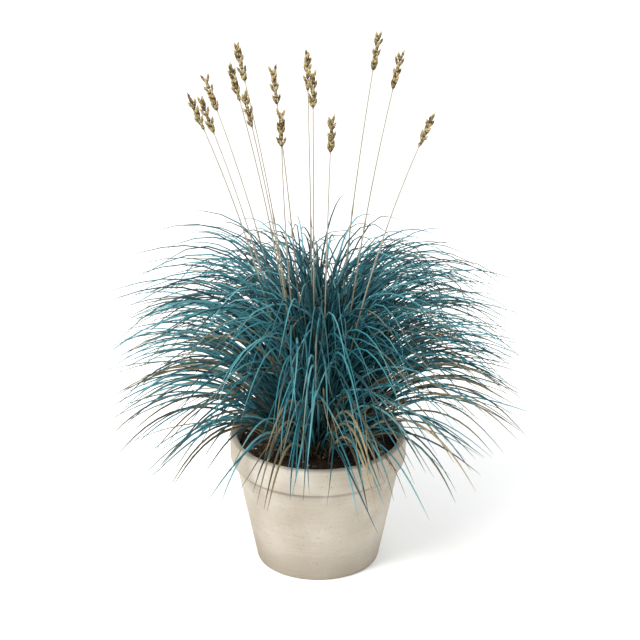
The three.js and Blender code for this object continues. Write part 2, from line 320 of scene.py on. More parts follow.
def arched(graph, given, rings):
    """Moves every ring to its place: outward and upward, fanned out, and swayed to one side."""

    def trait(name):
        return named(graph, name)

    along = trait("ring") / BLADE_RINGS
    middle = (trait("ring") + 0.5) / BLADE_RINGS
    bend = (1.0 - (1.0 - middle) ** 2) ** trait("lateness")
    lean = trait("root_lean") + (trait("tip_lean") - trait("root_lean")) * bend
    step = trait("length") / BLADE_RINGS
    stride = graph.vector(lean.math("SINE") * step, 0.0, lean.math("COSINE") * step)
    walked = graph.add(
        "GeometryNodeAccumulateField",
        {"Value": stride, "Group ID": named(graph, "blade", "INT")},
        "Trailing",
        data_type="FLOAT_VECTOR",
        domain="POINT",
    )
    walked = graph.add("ShaderNodeSeparateXYZ", {"Vector": walked})
    outward = trait("root") + walked.other("X")
    upward = trait("ground") + walked.other("Z")
    room = outward * given.other("Half Sector").math("TANGENT") - given.other("Keep Clear")
    fanned = (trait("place") + trait("drift") * along).held(-1, 1) * room.held(0, 1)
    wave = trait("wave") * (along * WAVE_TURN).math("SINE")
    swayed = (trait("sway") * along**2 + wave) * trait("length")
    sideways = trait("side") + fanned + swayed
    cosine = trait("azimuth").math("COSINE")
    sine = trait("azimuth").math("SINE")
    x = outward * cosine - sideways * sine
    y = outward * sine + sideways * cosine
    inputs = {"Geometry": rings, "Position": graph.vector(x, y, upward)}
    return graph.add("GeometryNodeSetPosition", inputs)


# %% The section and the sweep
SECTION_POINTS = 5
BLADE_INPUTS = ("Half Sector", "Keep Clear", "Thickness", "Fold", "Taper", "Tip")


def folded_section(graph, given):
    """The outline of a cut blade, one unit wide, with both halves folded up from the midrib."""
    circle = {"Resolution": SECTION_POINTS, "Radius": 1.0}
    section = graph.add("GeometryNodeCurvePrimitiveCircle", circle)
    position = graph.add("GeometryNodeInputPosition")
    spot = graph.add("ShaderNodeSeparateXYZ", {"Vector": position})
    across = spot.other("X")
    section = store(graph, section, "across", across)
    thick = spot.other("Y") * given.other("Thickness") * 0.5
    folded = thick + across.math("ABSOLUTE") * given.other("Fold")
    inputs = {"Geometry": section, "Position": graph.vector(across * 0.5, folded, 0.0)}
    return graph.add("GeometryNodeSetPosition", inputs)


def blade_tree():
    sockets = {**dict.fromkeys(BLADE_INPUTS, "Float"), "Material": "Material"}
    graph, given = geometry_tree("fescue_blades", sockets)
    points = graph.add("GeometryNodeMeshToPoints", {"Mesh": given})
    points = store(graph, points, "blade", graph.add("GeometryNodeInputIndex"), "INT")
    inputs = {"Geometry": points, "Amount": BLADE_RINGS + 1}
    copies = graph.add("GeometryNodeDuplicateElements", inputs, domain="POINT")
    rings = store(graph, copies, "ring", copies.other("Duplicate Index"))
    rings = store(graph, rings, "along", named(graph, "ring") / BLADE_RINGS)
    rings = arched(graph, given, rings)
    blade = named(graph, "blade", "INT")
    lines = {"Points": rings, "Curve Group ID": blade, "Weight": named(graph, "ring")}
    curves = graph.add("GeometryNodePointsToCurves", lines)
    turned = named(graph, "azimuth") + named(graph, "twist") * named(graph, "along")
    side = graph.vector(0.0 - turned.math("SINE"), turned.math("COSINE"), 0.0)
    inputs = {"Curve": curves, "Normal": side}
    curves = graph.add("GeometryNodeSetCurveNormal", inputs, mode="FREE")
    fullness = (1.0 - named(graph, "along") ** given.other("Taper")) * (1.0 - given.other("Tip"))
    width = named(graph, "width") * (fullness + given.other("Tip"))
    section = folded_section(graph, given)
    sweep = {"Curve": curves, "Profile Curve": section, "Scale": width, "Fill Caps": True}
    mesh = graph.add("GeometryNodeCurveToMesh", sweep)
    smooth = {"Geometry": mesh, "Shade Smooth": True}
    mesh = graph.add("GeometryNodeSetShadeSmooth", smooth)
    return finished_tree(graph, given, mesh)


BLADE_TREE = blade_tree()
print("nodes in the blade tree:", len(BLADE_TREE.nodes))

# %% [markdown]
# ## The habit of the clump
# The solids hold twelve tufts round the crown and a heart tuft on the axis. Each blade there
# follows one rule: the nearer it stands to the axis, the more upright it is, and the later it bends.
# The same rule, with the same draws, puts a fine blade in each of those places. Each then strays a
# little, because blades that line up look combed.

# %% Sizes of the clump
TUFT_COUNT = 12
SECTOR = tau / TUFT_COUNT
SOIL_TOP = 124 * MM
ROOT_HEIGHT = 1.5 * MM
BLADE_WIDTH = 2.8 * MM
BLADES_IN_TUFT = 21
PLACE_STEP = 8
PLACE_DRIFT = 0.25

# Each pair is for the most upright blade and the lowest one. Leans are degrees from upright.
ROOT_RADIUS = (14 * MM, 40 * MM)
ROOT_LEAN = (7, 42)
ROOT_LEAN_STRAY = 4
TIP_LEAN = (121, 122)
TIP_LEAN_STRAY = 14
LATENESS = (4.9, 2)
LENGTH = (322 * MM, 186 * MM)
LENGTH_FALL = 0.75
LENGTH_STRAY = (0.84, 1.03)

# How each blade grows, unless its row says otherwise.
PLAIN_TRAITS = {
    **dict.fromkeys(("azimuth", "root", "side"), 0.0),
    "ground": SOIL_TOP + ROOT_HEIGHT,
    **dict.fromkeys(("root_lean", "tip_lean"), 0.0),
    "lateness": 3.0,
    "length": 0.1,
    **dict.fromkeys(("place", "drift", "sway", "wave", "twist"), 0.0),
    "width": BLADE_WIDTH,
}


# %% Draws
def draws_from(seed):
    """A source of numbers from 0 to 1, the same ones on every run: the draws of the solids."""
    modulus = 2**31 - 1
    state = seed * 48271

    def draw():
        nonlocal state
        state = state * 16807 % modulus
        return state / modulus

    return draw


def mix(low, high, share):
    return low + (high - low) * share


def between(span, share):
    return mix(span[0], span[1], share)


def within(span, draw):
    """A draw between the ends of a span."""
    return between(span, draw())


def stray(reach, draw):
    """A draw to either side of zero."""
    return mix(-reach, reach, draw())


def strayed(row, draw, **reaches):
    """Draws each of these traits to either side of zero."""
    for trait, reach in reaches.items():
        row[trait] = stray(reach, draw)


def bundle(count, seed):
    """Makes a function that draws row i of a bundle draw the whole bundle with a given index."""

    def whole(build):
        def built(index=0):
            draw = draws_from(seed + index)
            return [build(index, i, draw) for i in range(count)]

        return built

    return whole


# %% The blades of the solid tufts
TUFT_SEED = 1
STRAY_SEED = 700
STRAY_AZIMUTH = 7
STRAY_SIDE = 4
STRAY_WIDTH = (0.68, 0.95)


def blue_habit(low, draw):
    """The traits that all blue blades share. low is 0 for the most upright and 1 for the lowest."""
    return {
        **PLAIN_TRAITS,
        "root": sqrt(mix(ROOT_RADIUS[0] ** 2, ROOT_RADIUS[1] ** 2, low)),
        "root_lean": radians(between(ROOT_LEAN, low) + stray(ROOT_LEAN_STRAY, draw)),
        "tip_lean": radians(between(TIP_LEAN, low) + stray(TIP_LEAN_STRAY, draw)),
        "lateness": between(LATENESS, low),
        "length": between(LENGTH, low**LENGTH_FALL) * within(LENGTH_STRAY, draw),
    }


def loosened(rows, seed):
    """Lets blades stray a few degrees and millimetres from the solid ones."""
    draw = draws_from(seed)
    for row in rows:
        row["azimuth"] += radians(stray(STRAY_AZIMUTH, draw))
        row["side"] += stray(STRAY_SIDE, draw) * MM
        strayed(row, draw, sway=0.12, wave=0.01, twist=0.5)
        row["width"] *= within(STRAY_WIDTH, draw)
    return rows


@bundle(BLADES_IN_TUFT, TUFT_SEED)
def solid_blades(index, i, draw):
    """The blades that the solid tuft has, in the same places."""
    low = (i + draw()) / BLADES_IN_TUFT
    place = ((i * PLACE_STEP) % BLADES_IN_TUFT + draw()) / BLADES_IN_TUFT
    row = blue_habit(low, draw)
    row.update(azimuth=index * SECTOR, place=mix(-1, 1, place), drift=stray(PLACE_DRIFT, draw))
    return row


# %% [markdown]
# ## Fine blades
# The solids leave the spaces between their blades open, and a real clump fills them. So each tuft
# gets 31 fine blades beside its 21. They root anywhere in the crown, head roughly away from its
# middle, bend sideways as well as down, and cross each other. Left and right of the front the clump
# is thin, so most fine blades that would head there grow at the back instead.

# %% Where fine blades root and head
CROWN_RADIUS = 42 * MM
CROWN_FILL = 0.6
OPEN_SHARE = 0.75
OPEN_FROM_FRONT = 0.2
OPEN_FROM_MIDDLE = 0.25


def rooted(row, turn, radius, heading):
    """Roots a blade at a turn and a radius in the crown, and lets it head another way."""
    row["azimuth"] = heading
    row["root"] = radius * cos(turn - heading)
    row["side"] = radius * sin(turn - heading)
    return row


def opened(turn, heading, draw):
    """Thins the front diagonals: most blades that head there grow at the back instead."""
    forward = -sin(heading)
    sideways = abs(cos(heading))
    if forward > OPEN_FROM_FRONT and sideways > OPEN_FROM_MIDDLE and draw() < OPEN_SHARE:
        return -turn, -heading
    return turn, heading


# %% Fine blades
FINE_SEED = 500
FINE_BLADES_IN_TUFT = 31
FINE_FAN = (1.65, 0.88)
FINE_SHORTEST = 0.92
FINE_LONGEST = (1.02, 0.95)
FINE_TIP_LEAN = 2.5
FINE_LATENESS = (0.7, 1.2)
FINE_HOOK = 0.16
FINE_WIDTH = (0.58, 0.92)


@bundle(FINE_BLADES_IN_TUFT, FINE_SEED)
def fine_blades(index, i, draw):
    """Fine blades of one tuft, from the upright ones in the middle to the low ones at the edge."""
    share = (i + draw()) / FINE_BLADES_IN_TUFT
    radius = CROWN_RADIUS * share**CROWN_FILL
    turn = (index + stray(0.5, draw)) * SECTOR
    heading = turn + between(FINE_FAN, share) * stray(1, draw)
    turn, heading = opened(turn, heading, draw)
    low = min(max(share**2 + stray(0.1, draw), 0.0), 1.0)
    row = rooted(blue_habit(low, draw), turn, radius, heading)
    row["length"] *= mix(FINE_SHORTEST, between(FINE_LONGEST, low), draw() ** 0.5)
    row["tip_lean"] += radians(FINE_TIP_LEAN)
    row["lateness"] *= within(FINE_LATENESS, draw)
    row["sway"] = stray(0.2, draw) + FINE_HOOK * stray(1, draw) ** 5
    strayed(row, draw, wave=0.016, twist=0.7)
    row["width"] *= within(FINE_WIDTH, draw)
    return row


def aged(rows, seed):
    """Gives each blade its tint, and an age from 0, fresh, to 1, dry."""
    draw = draws_from(seed)
    for row in rows:
        row["tint"] = draw()
        row["age"] = draw() ** 3
    return rows


# %% [markdown]
# ## Blue blades
# The blue is a waxy bloom over green. It is brightest on the upper, younger part of a blade and
# rubs off towards the foot, and the foot is also darkened as painted shade, where little light
# reaches low in the clump. The tips dry to a brown grey, most of all on old blades. So the colour
# runs along the blade, differs from blade to blade, and has fine ribs across it; the darkest,
# near-black blades are painted shade for blades that lie in shadow. Little light gets down between
# the blades round the axis, so they are darker there.


# %% Helpers for the finishes
def read(graph, name):
    """An attribute of the piece, as a number."""
    return graph.add("ShaderNodeAttribute", output="Fac", attribute_name=name)


def ramp(graph, factor, *stops):
    return graph.add("ShaderNodeValToRGB", {"Fac": factor}, stops=stops)


def place_parts(graph):
    """The place on the piece, in metres, split into X, Y and Z."""
    place = graph.add("ShaderNodeTexCoord", output="Object")
    return graph.add("ShaderNodeSeparateXYZ", {"Vector": place})


def noise(graph, scale, detail=3.0, where=None):
    """Noise of so many waves a metre, at the place on the piece or at another one."""
    place = where or graph.add("ShaderNodeTexCoord", output="Object")
    inputs = {"Vector": place, "Scale": scale, "Detail": detail}
    return graph.add("ShaderNodeTexNoise", inputs, "Fac")


def relief(graph, height, strength, distance):
    """A bumpy surface, whose height from 0 to 1 stands for a distance in metres."""
    inputs = {"Strength": strength, "Distance": distance, "Height": height}
    return graph.add("ShaderNodeBump", inputs)


RIB_TURN = 16.0


def ribs_across(graph):
    return (read(graph, "across") * RIB_TURN).math("SINE")


# %% The blue leaf finish
def blue_leaf_finish(graph):
    along = read(graph, "along")
    age = read(graph, "age")
    ribs = ribs_across(graph)
    # Blades differ in blue at random; the near-black end is painted shade for blades in shadow.
    bloom = ramp(
        graph,
        read(graph, "tint"),
        (0.0, (0.001, 0.015, 0.018)),
        (0.35, (0.006, 0.063, 0.08)),
        (0.7, (0.026, 0.166, 0.2)),
        (1.0, (0.12, 0.315, 0.345)),
    )
    # Painted shade in part: the foot darkens where little light reaches, and the bloom rubs off.
    foot = (1.0 - along * 2.8).held()
    colour = graph.mix(foot * 0.8, bloom, (0.018, 0.027, 0.018))
    parts = place_parts(graph)
    from_axis = (parts.other("X") ** 2 + parts.other("Y") ** 2) ** 0.5
    shade = (1.0 - from_axis * 11.0).held()
    colour = graph.mix(shade * 0.6, colour, (0.002, 0.02, 0.022))
    dry = (along * 9.0 - 8.5 + age * 2.6).held() * (age * 0.9 + 0.12).held()
    colour = graph.mix(dry, colour, (0.15, 0.128, 0.072))
    colour = graph.mix((ribs * 0.5 + 0.5) * 0.12, colour, (0.06, 0.26, 0.33))
    return {"Base Color": colour, "Normal": relief(graph, ribs, 0.25, 0.0002)}


BLUE_LEAF = new_material("blue_leaf", 0.48, blue_leaf_finish, specular=0.22)

# %% Blue tufts
BLADE_SIZES = {
    "Half Sector": SECTOR / 2,
    "Keep Clear": 3.1 * MM / cos(SECTOR / 2),
    "Thickness": 0.74,
    "Fold": 0.12,
    "Taper": 4.6,
    "Tip": 0.08,
}
TUFT_AGE_SEED = 900


def grow_blades(name, rows, material):
    settings = {**BLADE_SIZES, "Material": material}
    return grow("blades_" + name, sow(name, rows), BLADE_TREE, settings)


for index in range(TUFT_COUNT):
    name = f"tuft_{index + 1:02d}"
    rows = loosened(solid_blades(index), STRAY_SEED + index) + fine_blades(index)
    tuft = grow_blades(name, aged(rows, TUFT_AGE_SEED + index), BLUE_LEAF)
    hand_over(tuft, "blue_leaf", name)
print("blades in a tuft:", len(rows), "faces:", len(tuft.data.polygons))

# %% [markdown]
# ## The heart tuft
# The youngest blades stand in the middle. They rise above the rest and curl over near the tip. The
# solid has eight of them. Many fine ones of all lengths fill the middle, so that no hollow shows
# from above, and every twelfth is a long wisp that curls over at the top.

# %% Sizes of the heart
HEART_BLADES = 8
HEART_ROOT_RADIUS = 4 * MM
HEART_ROOT_LEAN = (1, 4)
HEART_TIP_LEAN = (118, 165)
HEART_LATENESS = 14
HEART_LENGTH = (235 * MM, 290 * MM)
HEART_SEED = TUFT_COUNT + 1
HEART_STRAY_SEED = 720
HEART_AGE_SEED = 950

HEART_FINE_BLADES = 320
HEART_FINE_RADIUS = 28 * MM
HEART_FINE_LEAN = 20
HEART_FINE_LENGTH = (0.45, 1.08)
HEART_FINE_LATENESS = (3.5, 13)
HEART_FINE_WIDTH = (0.62, 0.95)

# Lengths in mm, and the curl in degrees.
WISP_EVERY = 12
WISP_LENGTH = (228, 272)
WISP_LATENESS = (8, 13)
WISP_CURL = (20, 75)


# %% The heart's blades
def heart_habit(draw):
    return {
        **PLAIN_TRAITS,
        "root": HEART_ROOT_RADIUS,
        "root_lean": radians(within(HEART_ROOT_LEAN, draw)),
        "tip_lean": radians(within(HEART_TIP_LEAN, draw)),
        "lateness": HEART_LATENESS,
        "length": within(HEART_LENGTH, draw),
    }


@bundle(HEART_BLADES, HEART_SEED)
def solid_heart_blades(_, i, draw):
    """The blades that the solid heart tuft has."""
    row = heart_habit(draw)
    row["azimuth"] = int(i * TUFT_COUNT / HEART_BLADES + 0.5) * SECTOR
    return row


@bundle(HEART_FINE_BLADES, FINE_SEED + TUFT_COUNT)
def fine_heart_blades(_, i, draw):
    turn = tau * draw()
    heading = turn + stray(pi, draw)
    turn, heading = opened(turn, heading, draw)
    row = rooted(heart_habit(draw), turn, HEART_FINE_RADIUS * sqrt(draw()), heading)
    row["root_lean"] += radians(HEART_FINE_LEAN * draw() ** 1.5)
    row["length"] *= between(HEART_FINE_LENGTH, draw() ** 0.8)
    row["lateness"] = within(HEART_FINE_LATENESS, draw)
    if i % WISP_EVERY == 0:
        row["length"] = within(WISP_LENGTH, draw) * MM
        row["lateness"] = within(WISP_LATENESS, draw)
        row["tip_lean"] += radians(within(WISP_CURL, draw))
    strayed(row, draw, sway=0.3, wave=0.02, twist=1.2)
    row["width"] *= within(HEART_FINE_WIDTH, draw)
    return row


rows = loosened(solid_heart_blades(), HEART_STRAY_SEED) + fine_heart_blades()
heart = grow_blades("heart", aged(rows, HEART_AGE_SEED), BLUE_LEAF)
hand_over(heart, "blue_leaf", "heart_tuft")
print("blades in the heart:", len(rows), "faces:", len(heart.data.polygons))

# %% [markdown]
# ## Dead blades
# The oldest blades dry out to tan and brown and stay in the clump. They grew as the blue ones did,
# so they come from the same tree, but they are shorter, and the fine ones shrink and twist as they
# dry. Round the foot stand short dry sheaths, which the blades grew out of.

# %% Sizes of the dead blades
DEAD_BLADES_IN_SPRAY = 5
DEAD_ROOT_RADIUS = (28.5 * MM, 40 * MM)
DEAD_ROOT_LEAN = (22, 50)
DEAD_TIP_LEAN = (122, 136)
DEAD_TIP_LEAN_STRAY = 10
DEAD_LATENESS = 3
DEAD_LENGTH = (245 * MM, 182 * MM)
DEAD_LENGTH_STRAY = (0.82, 1.04)
DEAD_SEED = TUFT_COUNT + 2
DEAD_AGE_SEED = 960

DEAD_FINE_BLADES = 5
DEAD_FINE_SEED = 550
DEAD_FINE_FAN = (0.9, 0.3)
DEAD_FINE_LENGTH = (0.6, 0.98)
DEAD_FINE_WIDTH = (0.45, 0.8)

# Lengths and widths in mm, and leans in degrees.
SHEATHS_IN_SECTOR = 24
SHEATH_SEED = 580
SHEATH_DEPTH = 4
SHEATH_EDGE = 3
SHEATH_LEAN = (4, 42)
SHEATH_LEAN_STRAY = 6
SHEATH_CURL = (5, 45)
SHEATH_LENGTH = (16, 40)
SHEATH_WIDTH = (2.4, 3.8)


# %% Dead blades and sheaths
@bundle(DEAD_BLADES_IN_SPRAY, DEAD_SEED)
def solid_dead_blades(index, i, draw):
    """The blades that the solid spray has, in the slot between two tufts."""
    low = (i + draw()) / DEAD_BLADES_IN_SPRAY
    tip_lean = between(DEAD_TIP_LEAN, low) + stray(DEAD_TIP_LEAN_STRAY, draw)
    return {
        **PLAIN_TRAITS,
        "azimuth": (index + 0.5) * SECTOR,
        "root": between(DEAD_ROOT_RADIUS, low),
        "root_lean": radians(between(DEAD_ROOT_LEAN, low)),
        "tip_lean": radians(tip_lean),
        "lateness": DEAD_LATENESS,
        "length": between(DEAD_LENGTH, low) * within(DEAD_LENGTH_STRAY, draw),
    }


@bundle(DEAD_FINE_BLADES, DEAD_FINE_SEED)
def fine_dead_blades(index, i, draw):
    share = (i + draw()) / DEAD_FINE_BLADES
    turn = (index + 0.5 + stray(0.5, draw)) * SECTOR
    heading = turn + between(DEAD_FINE_FAN, share) * stray(1, draw)
    row = rooted(blue_habit(share, draw), turn, CROWN_RADIUS * share**CROWN_FILL, heading)
    row["length"] *= within(DEAD_FINE_LENGTH, draw)
    strayed(row, draw, sway=0.3, wave=0.03, twist=2.5)
    row["width"] *= within(DEAD_FINE_WIDTH, draw)
    return row


@bundle(SHEATHS_IN_SECTOR, SHEATH_SEED)
def old_sheaths(index, i, draw):
    """Short dry sheaths that stand crowded round the foot of the blades."""
    share = (i + draw()) / SHEATHS_IN_SECTOR
    turn = (index + 0.5 + stray(0.5, draw)) * SECTOR
    row = rooted(dict(PLAIN_TRAITS), turn, (CROWN_RADIUS + SHEATH_EDGE * MM) * share**0.5, turn)
    row["azimuth"] += stray(0.6, draw)
    row["ground"] -= SHEATH_DEPTH * MM
    row["root_lean"] = radians(between(SHEATH_LEAN, share) + stray(SHEATH_LEAN_STRAY, draw))
    row["tip_lean"] = row["root_lean"] + radians(within(SHEATH_CURL, draw))
    row["length"] = between(SHEATH_LENGTH, draw() ** 1.5) * MM
    strayed(row, draw, sway=0.2, twist=1)
    row["width"] = within(SHEATH_WIDTH, draw) * MM
    return row


# %% The dead leaf finish and the sprays
def dead_leaf_finish(graph):
    along = read(graph, "along")
    ribs = ribs_across(graph)
    colour = ramp(
        graph,
        read(graph, "tint"),
        (0.0, (0.05, 0.044, 0.032)),
        (0.4, (0.115, 0.094, 0.052)),
        (0.75, (0.19, 0.15, 0.08)),
        (1.0, (0.31, 0.252, 0.145)),
    )
    foot = (1.0 - along * 3.0).held()
    colour = graph.mix(foot * 0.7, colour, (0.06, 0.04, 0.022))
    spots = (noise(graph, 260.0) * 5.0 - 2.9).held()
    colour = graph.mix(spots * 0.6, colour, (0.05, 0.034, 0.02))
    return {"Base Color": colour, "Normal": relief(graph, ribs, 0.35, 0.0002)}


DEAD_LEAF = new_material("dead_leaf", 0.75, dead_leaf_finish, specular=0.2)

for index in range(TUFT_COUNT):
    name = f"dead_spray_{index + 1:02d}"
    rows = solid_dead_blades(index) + fine_dead_blades(index) + old_sheaths(index)
    spray = grow_blades(name, aged(rows, DEAD_AGE_SEED + index), DEAD_LEAF)
    hand_over(spray, "dead_leaf", name)
print("blades and sheaths in a spray:", len(rows), "faces:", len(spray.data.polygons))

# %% [markdown]
# ## Flower stalks
# The stalks are dry, thin and almost straight. Each has two joints, where it is a little thicker and
# darker, and the solids give the line that it follows. A bevelled curve would do, but a tube written
# ring by ring swells at the joints and stores how far up each ring is, which the finish reads.

# %% The lines of the stalks
# Each stalk has its slot between two tufts and then, in mm, how far its root and its tip stand from
# the axis, and how high its tip is above the soil. One of them bows by a share of its own.
STALKS = [
    (6, 19, 108, 331), (5, 19, 101, 308), (4, 19, 137, 305), (6, 13, 74, 356), (5, 13, 70, 362),
    (7, 19, 84, 345), (4, 13, 54, 332), (7, 13, 47, 316, 0.85), (3, 15, 36, 347), (8, 14, 17, 348),
    (9, 16, 44, 314), (1, 17, 73, 361), (11, 17, 71, 367), (10, 18, 128, 338),
]
STALK_FOOT_DEPTH = 7.7
STALK_RISE_SHARE = 0.52
STALK_REACH_SHARE = 0.3


def stalk_points(slot, root, reach, height, reach_share=STALK_REACH_SHARE):
    """The three control points of a stalk's line."""
    azimuth = (slot + 0.5) * SECTOR

    def at(radius, z):
        return Vector((radius * cos(azimuth), radius * sin(azimuth), z)) * MM

    soil = SOIL_TOP / MM
    return (
        at(root, soil - STALK_FOOT_DEPTH),
        at(mix(root, reach, reach_share), soil + height * STALK_RISE_SHARE),
        at(reach, soil + height),
    )


def on_stalk(points, t):
    """The place and the direction at a share of a stalk's line."""
    a, b, c = points
    place = a * (1 - t) ** 2 + b * 2 * t * (1 - t) + c * t**2
    return place, ((b - a) * (1 - t) + (c - b) * t).normalized()


# %% Tubes
def ring_faces(rings, sides):
    """The faces of a tube of rings, closed at both ends."""
    faces = []
    for i in range(rings - 1):
        for k in range(sides):
            a, b = i * sides + k, i * sides + (k + 1) % sides
            faces.append((a, b, b + sides, a + sides))
    faces.append(tuple(reversed(range(sides))))
    faces.append(tuple(range((rings - 1) * sides, rings * sides)))
    return faces


def smooth_mesh(name, vertices, faces, along=None):
    """A smooth mesh. along holds each point's share of the way, for the finish to read."""
    mesh = bpy.data.meshes.new(name)
    mesh.from_pydata(vertices, [], faces)
    mesh.shade_smooth()
    if along:
        mesh.attributes.new("along", "FLOAT", "POINT").data.foreach_set("value", along)
    return mesh


def tube(name, places, radii, sides, shares=(0.0, 1.0)):
    """A closed round tube through a list of places, with its share of length stored."""
    vertices, along = [], []
    for i, place in enumerate(places):
        ahead = places[min(i + 1, len(places) - 1)] - places[max(i - 1, 0)]
        turn = ahead.to_track_quat("Z", "Y")
        for k in range(sides):
            angle = tau * k / sides
            vertices.append(place + turn @ Vector((cos(angle), sin(angle), 0)) * radii[i])
            along.append(between(shares, i / (len(places) - 1)))
    return smooth_mesh(name, vertices, ring_faces(len(places), sides), along)


# %% The stalks
STALK_RADIUS = (0.85 * MM, 0.68 * MM)
STALK_RINGS = 48
STALK_SIDES = 8
STALK_SLIMNESS = 0.92
STALK_JOINTS = (0.3, 0.62)
JOINT_SWELL = 0.5
JOINT_SPREAD = 0.012


def straw_finish(graph):
    along = read(graph, "along")
    colour = ramp(
        graph,
        along,
        (0.0, (0.06, 0.062, 0.034)),
        (0.36, (0.125, 0.112, 0.066)),
        (0.5, (0.255, 0.23, 0.17)),
        (0.75, (0.32, 0.298, 0.25)),
        (1.0, (0.345, 0.32, 0.262)),
    )
    stains = (noise(graph, 90.0) * 4.0 - 1.8).held()
    colour = graph.mix(stains * 0.35, colour, (0.2, 0.165, 0.12))
    for joint in STALK_JOINTS:
        near = (1.0 - (along - joint).math("ABSOLUTE") * 90.0).held()
        colour = graph.mix(near * 0.75, colour, (0.15, 0.095, 0.05))
    return {"Base Color": colour}


STRAW = new_material("straw", 0.6, straw_finish, specular=0.3)


def build_stalk(index, plan):
    points = stalk_points(*plan)
    shares = [i / STALK_RINGS for i in range(STALK_RINGS + 1)]
    places = [on_stalk(points, t)[0] for t in shares]
    radii = []
    for t in shares:
        joint = sum(exp(-(((t - where) / JOINT_SPREAD) ** 2)) for where in STALK_JOINTS)
        radii.append(between(STALK_RADIUS, t) * (STALK_SLIMNESS + JOINT_SWELL * joint))
    name = f"stalk_{index + 1:02d}"
    stalk = placed("culm_" + name, tube(name, places, radii, STALK_SIDES))
    stalk.data.materials.append(STRAW)
    hand_over(stalk, "straw", name)
    return stalk


for index, plan in enumerate(STALKS):
    stalk = build_stalk(index, plan)
print("stalks:", len(STALKS), "faces in one:", len(stalk.data.polygons))

# %% [markdown]
# ## Flower heads
# A head carries six tiers of spikelets in pairs, and each pair stands out in a V. A spikelet is a
# small fan of eight overlapping husks, to its left and right in turn, and each husk ends in a fine
# point. All husks have one shape, so Geometry Nodes places them: one point for each husk, with the
# way it stands and its size.

# %% One husk
# Each ring of a husk is its height and its share of the full width.
HUSK_RINGS = ((0.0, 0.16), (0.18, 0.78), (0.42, 1.0), (0.68, 0.66), (0.88, 0.2), (1.0, 0.03))
HUSK_SIDES = 6
HUSK_HALF_WIDTH = 0.17
HUSK_HALF_DEPTH = 0.10
HUSK_BELLY = 0.105


def husk_mesh():
    """A pointed scale, one unit long, that bellies out on its back. It stands along +Z."""
    vertices, along = [], []
    for height, size in HUSK_RINGS:
        belly = HUSK_BELLY * sin(pi * height)
        for k in range(HUSK_SIDES):
            angle = tau * k / HUSK_SIDES
            x = HUSK_HALF_WIDTH * size * cos(angle)
            y = belly + HUSK_HALF_DEPTH * size * sin(angle)
            vertices.append((x, y, height))
            along.append(height)
    return smooth_mesh("husk", vertices, ring_faces(len(HUSK_RINGS), HUSK_SIDES), along)


husk_shape = bpy.data.objects.new("husk_shape", husk_mesh())


# %% Standing copies on points
def placing_tree():
    """Stands a copy of one shape on each point, by the point's own turn and size."""
    graph, given = geometry_tree("stood_on_points", {"Shape": "Object", "Material": "Material"})
    inputs = {"Object": given.other("Shape")}
    shape = graph.add("GeometryNodeObjectInfo", inputs, output="Geometry")
    turn = graph.vector(named(graph, "turn_x"), named(graph, "turn_y"), named(graph, "turn_z"))
    size = graph.vector(named(graph, "wide"), named(graph, "deep"), named(graph, "tall"))
    stood = graph.add(
        "GeometryNodeInstanceOnPoints",
        {
            "Points": graph.add("GeometryNodeMeshToPoints", {"Mesh": given}),
            "Instance": shape,
            "Rotation": graph.add("FunctionNodeEulerToRotation", {"Euler": turn}),
            "Scale": size,
        },
    )
    return finished_tree(graph, given, stood)


PLACING_TREE = placing_tree()


def stand_at(spot, turn, wide, deep, tall, tint):
    """One row for the placing tree: a place, a rotation and a size, plus the tint of the copy."""
    x, y, z = turn.to_euler()
    turns = {"turn_x": x, "turn_y": y, "turn_z": z}
    return {"spot": spot, **turns, "wide": wide, "deep": deep, "tall": tall, "tint": tint}


# %% The husks of a head
ACROSS = (0, 1, 0)
UPRIGHT = (0, 0, 1)
HEAD_SEED = 1200
HEAD_LENGTH = 41 * MM
HEAD_TIERS = 6
HEAD_TURN_PER_TIER = radians(72)
FIRST_TIER = 0.9 * MM
TIER_SLACK = 1.2 * MM
SPIKELET_LENGTH = 12 * MM
SPIKELET_LEAN = radians(23)
SPIKELET_LEAN_STRAY = (0.8, 1.2)
HUSKS_IN_SPIKELET = 8
HUSK_LENGTH = 6.4 * MM
HUSK_LENGTH_STRAY = (0.9, 1.08)
HUSK_SPLAY = (19, 3)
HUSK_OFFSET = 0.35 * MM
HUSK_WIDTH = (1.55, 1.15)


def spikelet_husks(base, frame_turn, draw):
    """The husks of one spikelet, alternately to its left and right, from its foot to its tip."""
    rows = []
    for k in range(HUSKS_IN_SPIKELET):
        share = k / (HUSKS_IN_SPIKELET - 1)
        side = 1 if k % 2 else -1
        splay = Quaternion(ACROSS, side * radians(between(HUSK_SPLAY, share)))
        facing = Quaternion(UPRIGHT, radians(90) * side + stray(0.4, draw))
        aside = side * HUSK_OFFSET * (1 - share)
        up = (SPIKELET_LENGTH - HUSK_LENGTH) * share
        spot = base + frame_turn @ Vector((aside, 0, up))
        size = HUSK_LENGTH * within(HUSK_LENGTH_STRAY, draw)
        wide = size * between(HUSK_WIDTH, share)
        rows.append(stand_at(spot, frame_turn @ splay @ facing, wide, wide, size, draw()))
    return rows


def head_rows(index, plan):
    draw = draws_from(HEAD_SEED + index)
    foot, along = on_stalk(stalk_points(*plan), 1.0)
    upright = along.to_track_quat("Z", "Y")
    axis_length = HEAD_LENGTH - SPIKELET_LENGTH
    rows = []
    for tier in range(HEAD_TIERS):
        height = FIRST_TIER + (axis_length - TIER_SLACK) * tier / (HEAD_TIERS - 1)
        for pair in (0, pi):
            turn = index + HEAD_TURN_PER_TIER * tier + pair + stray(0.25, draw)
            lean = SPIKELET_LEAN * within(SPIKELET_LEAN_STRAY, draw)
            stand = upright @ Quaternion(UPRIGHT, turn) @ Quaternion(ACROSS, lean)
            rows += spikelet_husks(foot + along * height, stand, draw)
    return rows


# %% The axis of a head
AXIS_STEPS = 8
AXIS_SIDES = 6
AXIS_RADIUS = (0.75, 0.35)
AXIS_STRAW = (0.8, 1.0)


